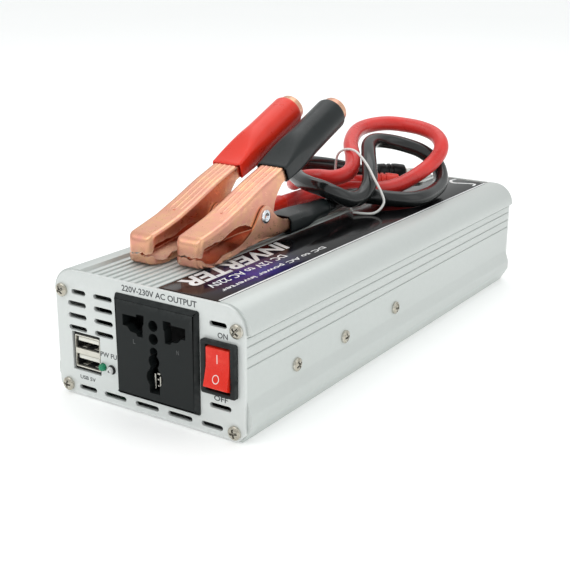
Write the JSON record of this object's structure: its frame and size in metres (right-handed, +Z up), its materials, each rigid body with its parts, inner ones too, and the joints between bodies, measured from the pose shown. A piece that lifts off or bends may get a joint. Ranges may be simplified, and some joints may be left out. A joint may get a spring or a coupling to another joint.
{
  "type": "power inverter",
  "caption": "Portable power inverter: ribbed aluminium case, mains outlet, charging ports, rocker switch, rear fan and terminals, with tied battery leads on top.",
  "frame": {"origin": "middle of the underside, on the surface it stands on", "axes": "+Z up, +Y towards the rear along the case, +X to the right seen from the front plate"},
  "size_m": [0.095, 0.268, 0.1067],
  "materials": {
    "case_aluminium": "satin anodised, brushed along its length",
    "base_aluminium": "mill finish",
    "front_aluminium": "brushed across its width",
    "screw_steel": "bright nickel plate",
    "label_film": "glossy printed film, dark blue-black with pale graphics",
    "black_plastic": "fine satin moulding",
    "contact_brass": "dull",
    "red_switch_plastic": "glossy, half clear",
    "tinned_steel": "tin plated sheet and wire",
    "port_plastic": "satin",
    "circuit_board": "solder mask",
    "green_lens": "diffused lens",
    "clear_lens": "water-clear lens",
    "ferrite": "sintered ferrite",
    "winding_tape": "polyester tape over copper",
    "capacitor_sleeve": "printed shrink sleeve",
    "enamelled_wire": "enamelled copper",
    "package_black": "moulded epoxy",
    "pad_grey": "silicone",
    "fuse_orange": "clear tinted moulding",
    "wire_brown": "vinyl insulation",
    "wire_red": "vinyl insulation",
    "fan_plastic": "glass-filled moulding",
    "red_plastic": "satin moulding",
    "clamp_copper": "copper-plated pressed steel",
    "red_vinyl": "soft dipped vinyl",
    "black_vinyl": "soft dipped vinyl",
    "spring_steel": "zinc plated wire",
    "rivet_zinc": "zinc plate",
    "red_jacket": "flexible vinyl jacket",
    "black_jacket": "flexible vinyl jacket",
    "tie_white": "plastic coated wire"
  },
  "bodies": {
    "case": {"housing": "case_aluminium", "base_plate": "base_aluminium", "front_plate": "front_aluminium", "rear_plate": "front_aluminium", "front_screws": "screw_steel", "rear_screws": "screw_steel", "side_screws": "screw_steel", "top_label": "label_film", "outlet_face": "black_plastic", "outlet_contacts": "contact_brass", "outlet_base": "black_plastic", "switch_frame": "black_plastic", "switch_terminals": "tinned_steel", "usb_shell": "tinned_steel", "usb_tongues": "port_plastic", "usb_board": "circuit_board", "power_led": "green_lens", "fault_led": "clear_lens", "main_board": "circuit_board", "board_posts": "contact_brass", "transformer_cores": "ferrite", "transformer_windings": "winding_tape", "input_capacitors": "capacitor_sleeve", "bus_capacitor": "black_plastic", "filter_choke": "enamelled_wire", "mosfets": "package_black", "clamp_bars": "tinned_steel", "insulating_pads": "pad_grey", "control_board": "circuit_board", "fuses": "fuse_orange", "buzzer": "package_black", "output_wires": "wire_brown", "supply_wires": "wire_red", "fan_frame": "fan_plastic", "fan_guard": "tinned_steel", "fan_screws": "screw_steel", "terminal_studs": "contact_brass", "terminal_insulators": "black_plastic"},
    "rocker": {"switch_rocker": "red_switch_plastic"},
    "fan": {"fan_rotor": "fan_plastic"},
    "positive_knob": {"positive_knob": "red_plastic"},
    "negative_knob": {"negative_knob": "black_plastic"},
    "leads": {"red_lower_jaw": "clamp_copper", "black_lower_jaw": "clamp_copper", "red_lower_grip": "red_vinyl", "black_lower_grip": "black_vinyl", "clamp_rivets": "rivet_zinc", "red_lead": "red_jacket", "black_lead": "black_jacket", "red_lug": "tinned_steel", "black_lug": "tinned_steel", "red_boot": "red_vinyl", "black_boot": "black_vinyl", "lead_tie": "tie_white", "red_spring": "spring_steel", "black_spring": "spring_steel"},
    "red_jaw": {"red_upper_jaw": "clamp_copper", "red_upper_grip": "red_vinyl"},
    "black_jaw": {"black_upper_jaw": "clamp_copper", "black_upper_grip": "black_vinyl"}
  },
  "joints": [
    {"name": "rocker_tilt", "type": "hinge", "parent": "case", "child": "rocker", "pos_m": [0.0348, -0.1291, 0.0279], "axis": [1, 0, 0], "range_deg": [0, 15]},
    {"name": "fan_spin", "type": "hinge", "parent": "case", "child": "fan", "pos_m": [0.0185, 0.108, 0.027], "axis": [0, 1, 0], "continuous": true},
    {"name": "positive_knob_turn", "type": "hinge", "parent": "case", "child": "positive_knob", "pos_m": [-0.014, 0.127, 0.027], "axis": [0, 1, 0], "continuous": true},
    {"name": "negative_knob_turn", "type": "hinge", "parent": "case", "child": "negative_knob", "pos_m": [-0.035, 0.127, 0.027], "axis": [0, 1, 0], "continuous": true},
    {"name": "leads_lift", "type": "slide", "parent": "case", "child": "leads", "axis": [0, 0, 1], "range_m": [0, 0.08]},
    {"name": "red_clamp_open", "type": "hinge", "parent": "leads", "child": "red_jaw", "pos_m": [-0.02, -0.066, 0.0654], "axis": [-1, 0, 0], "range_deg": [0, 15], "stiffness_Nm_per_rad": 1.5, "springref_deg": -20.05, "deforming": ["red_spring"]},
    {"name": "black_clamp_open", "type": "hinge", "parent": "leads", "child": "black_jaw", "pos_m": [-0.0005, -0.06, 0.0654], "axis": [-1, 0, 0], "range_deg": [0, 15], "stiffness_Nm_per_rad": 1.5, "springref_deg": -20.05, "deforming": ["black_spring"]}
  ]
}
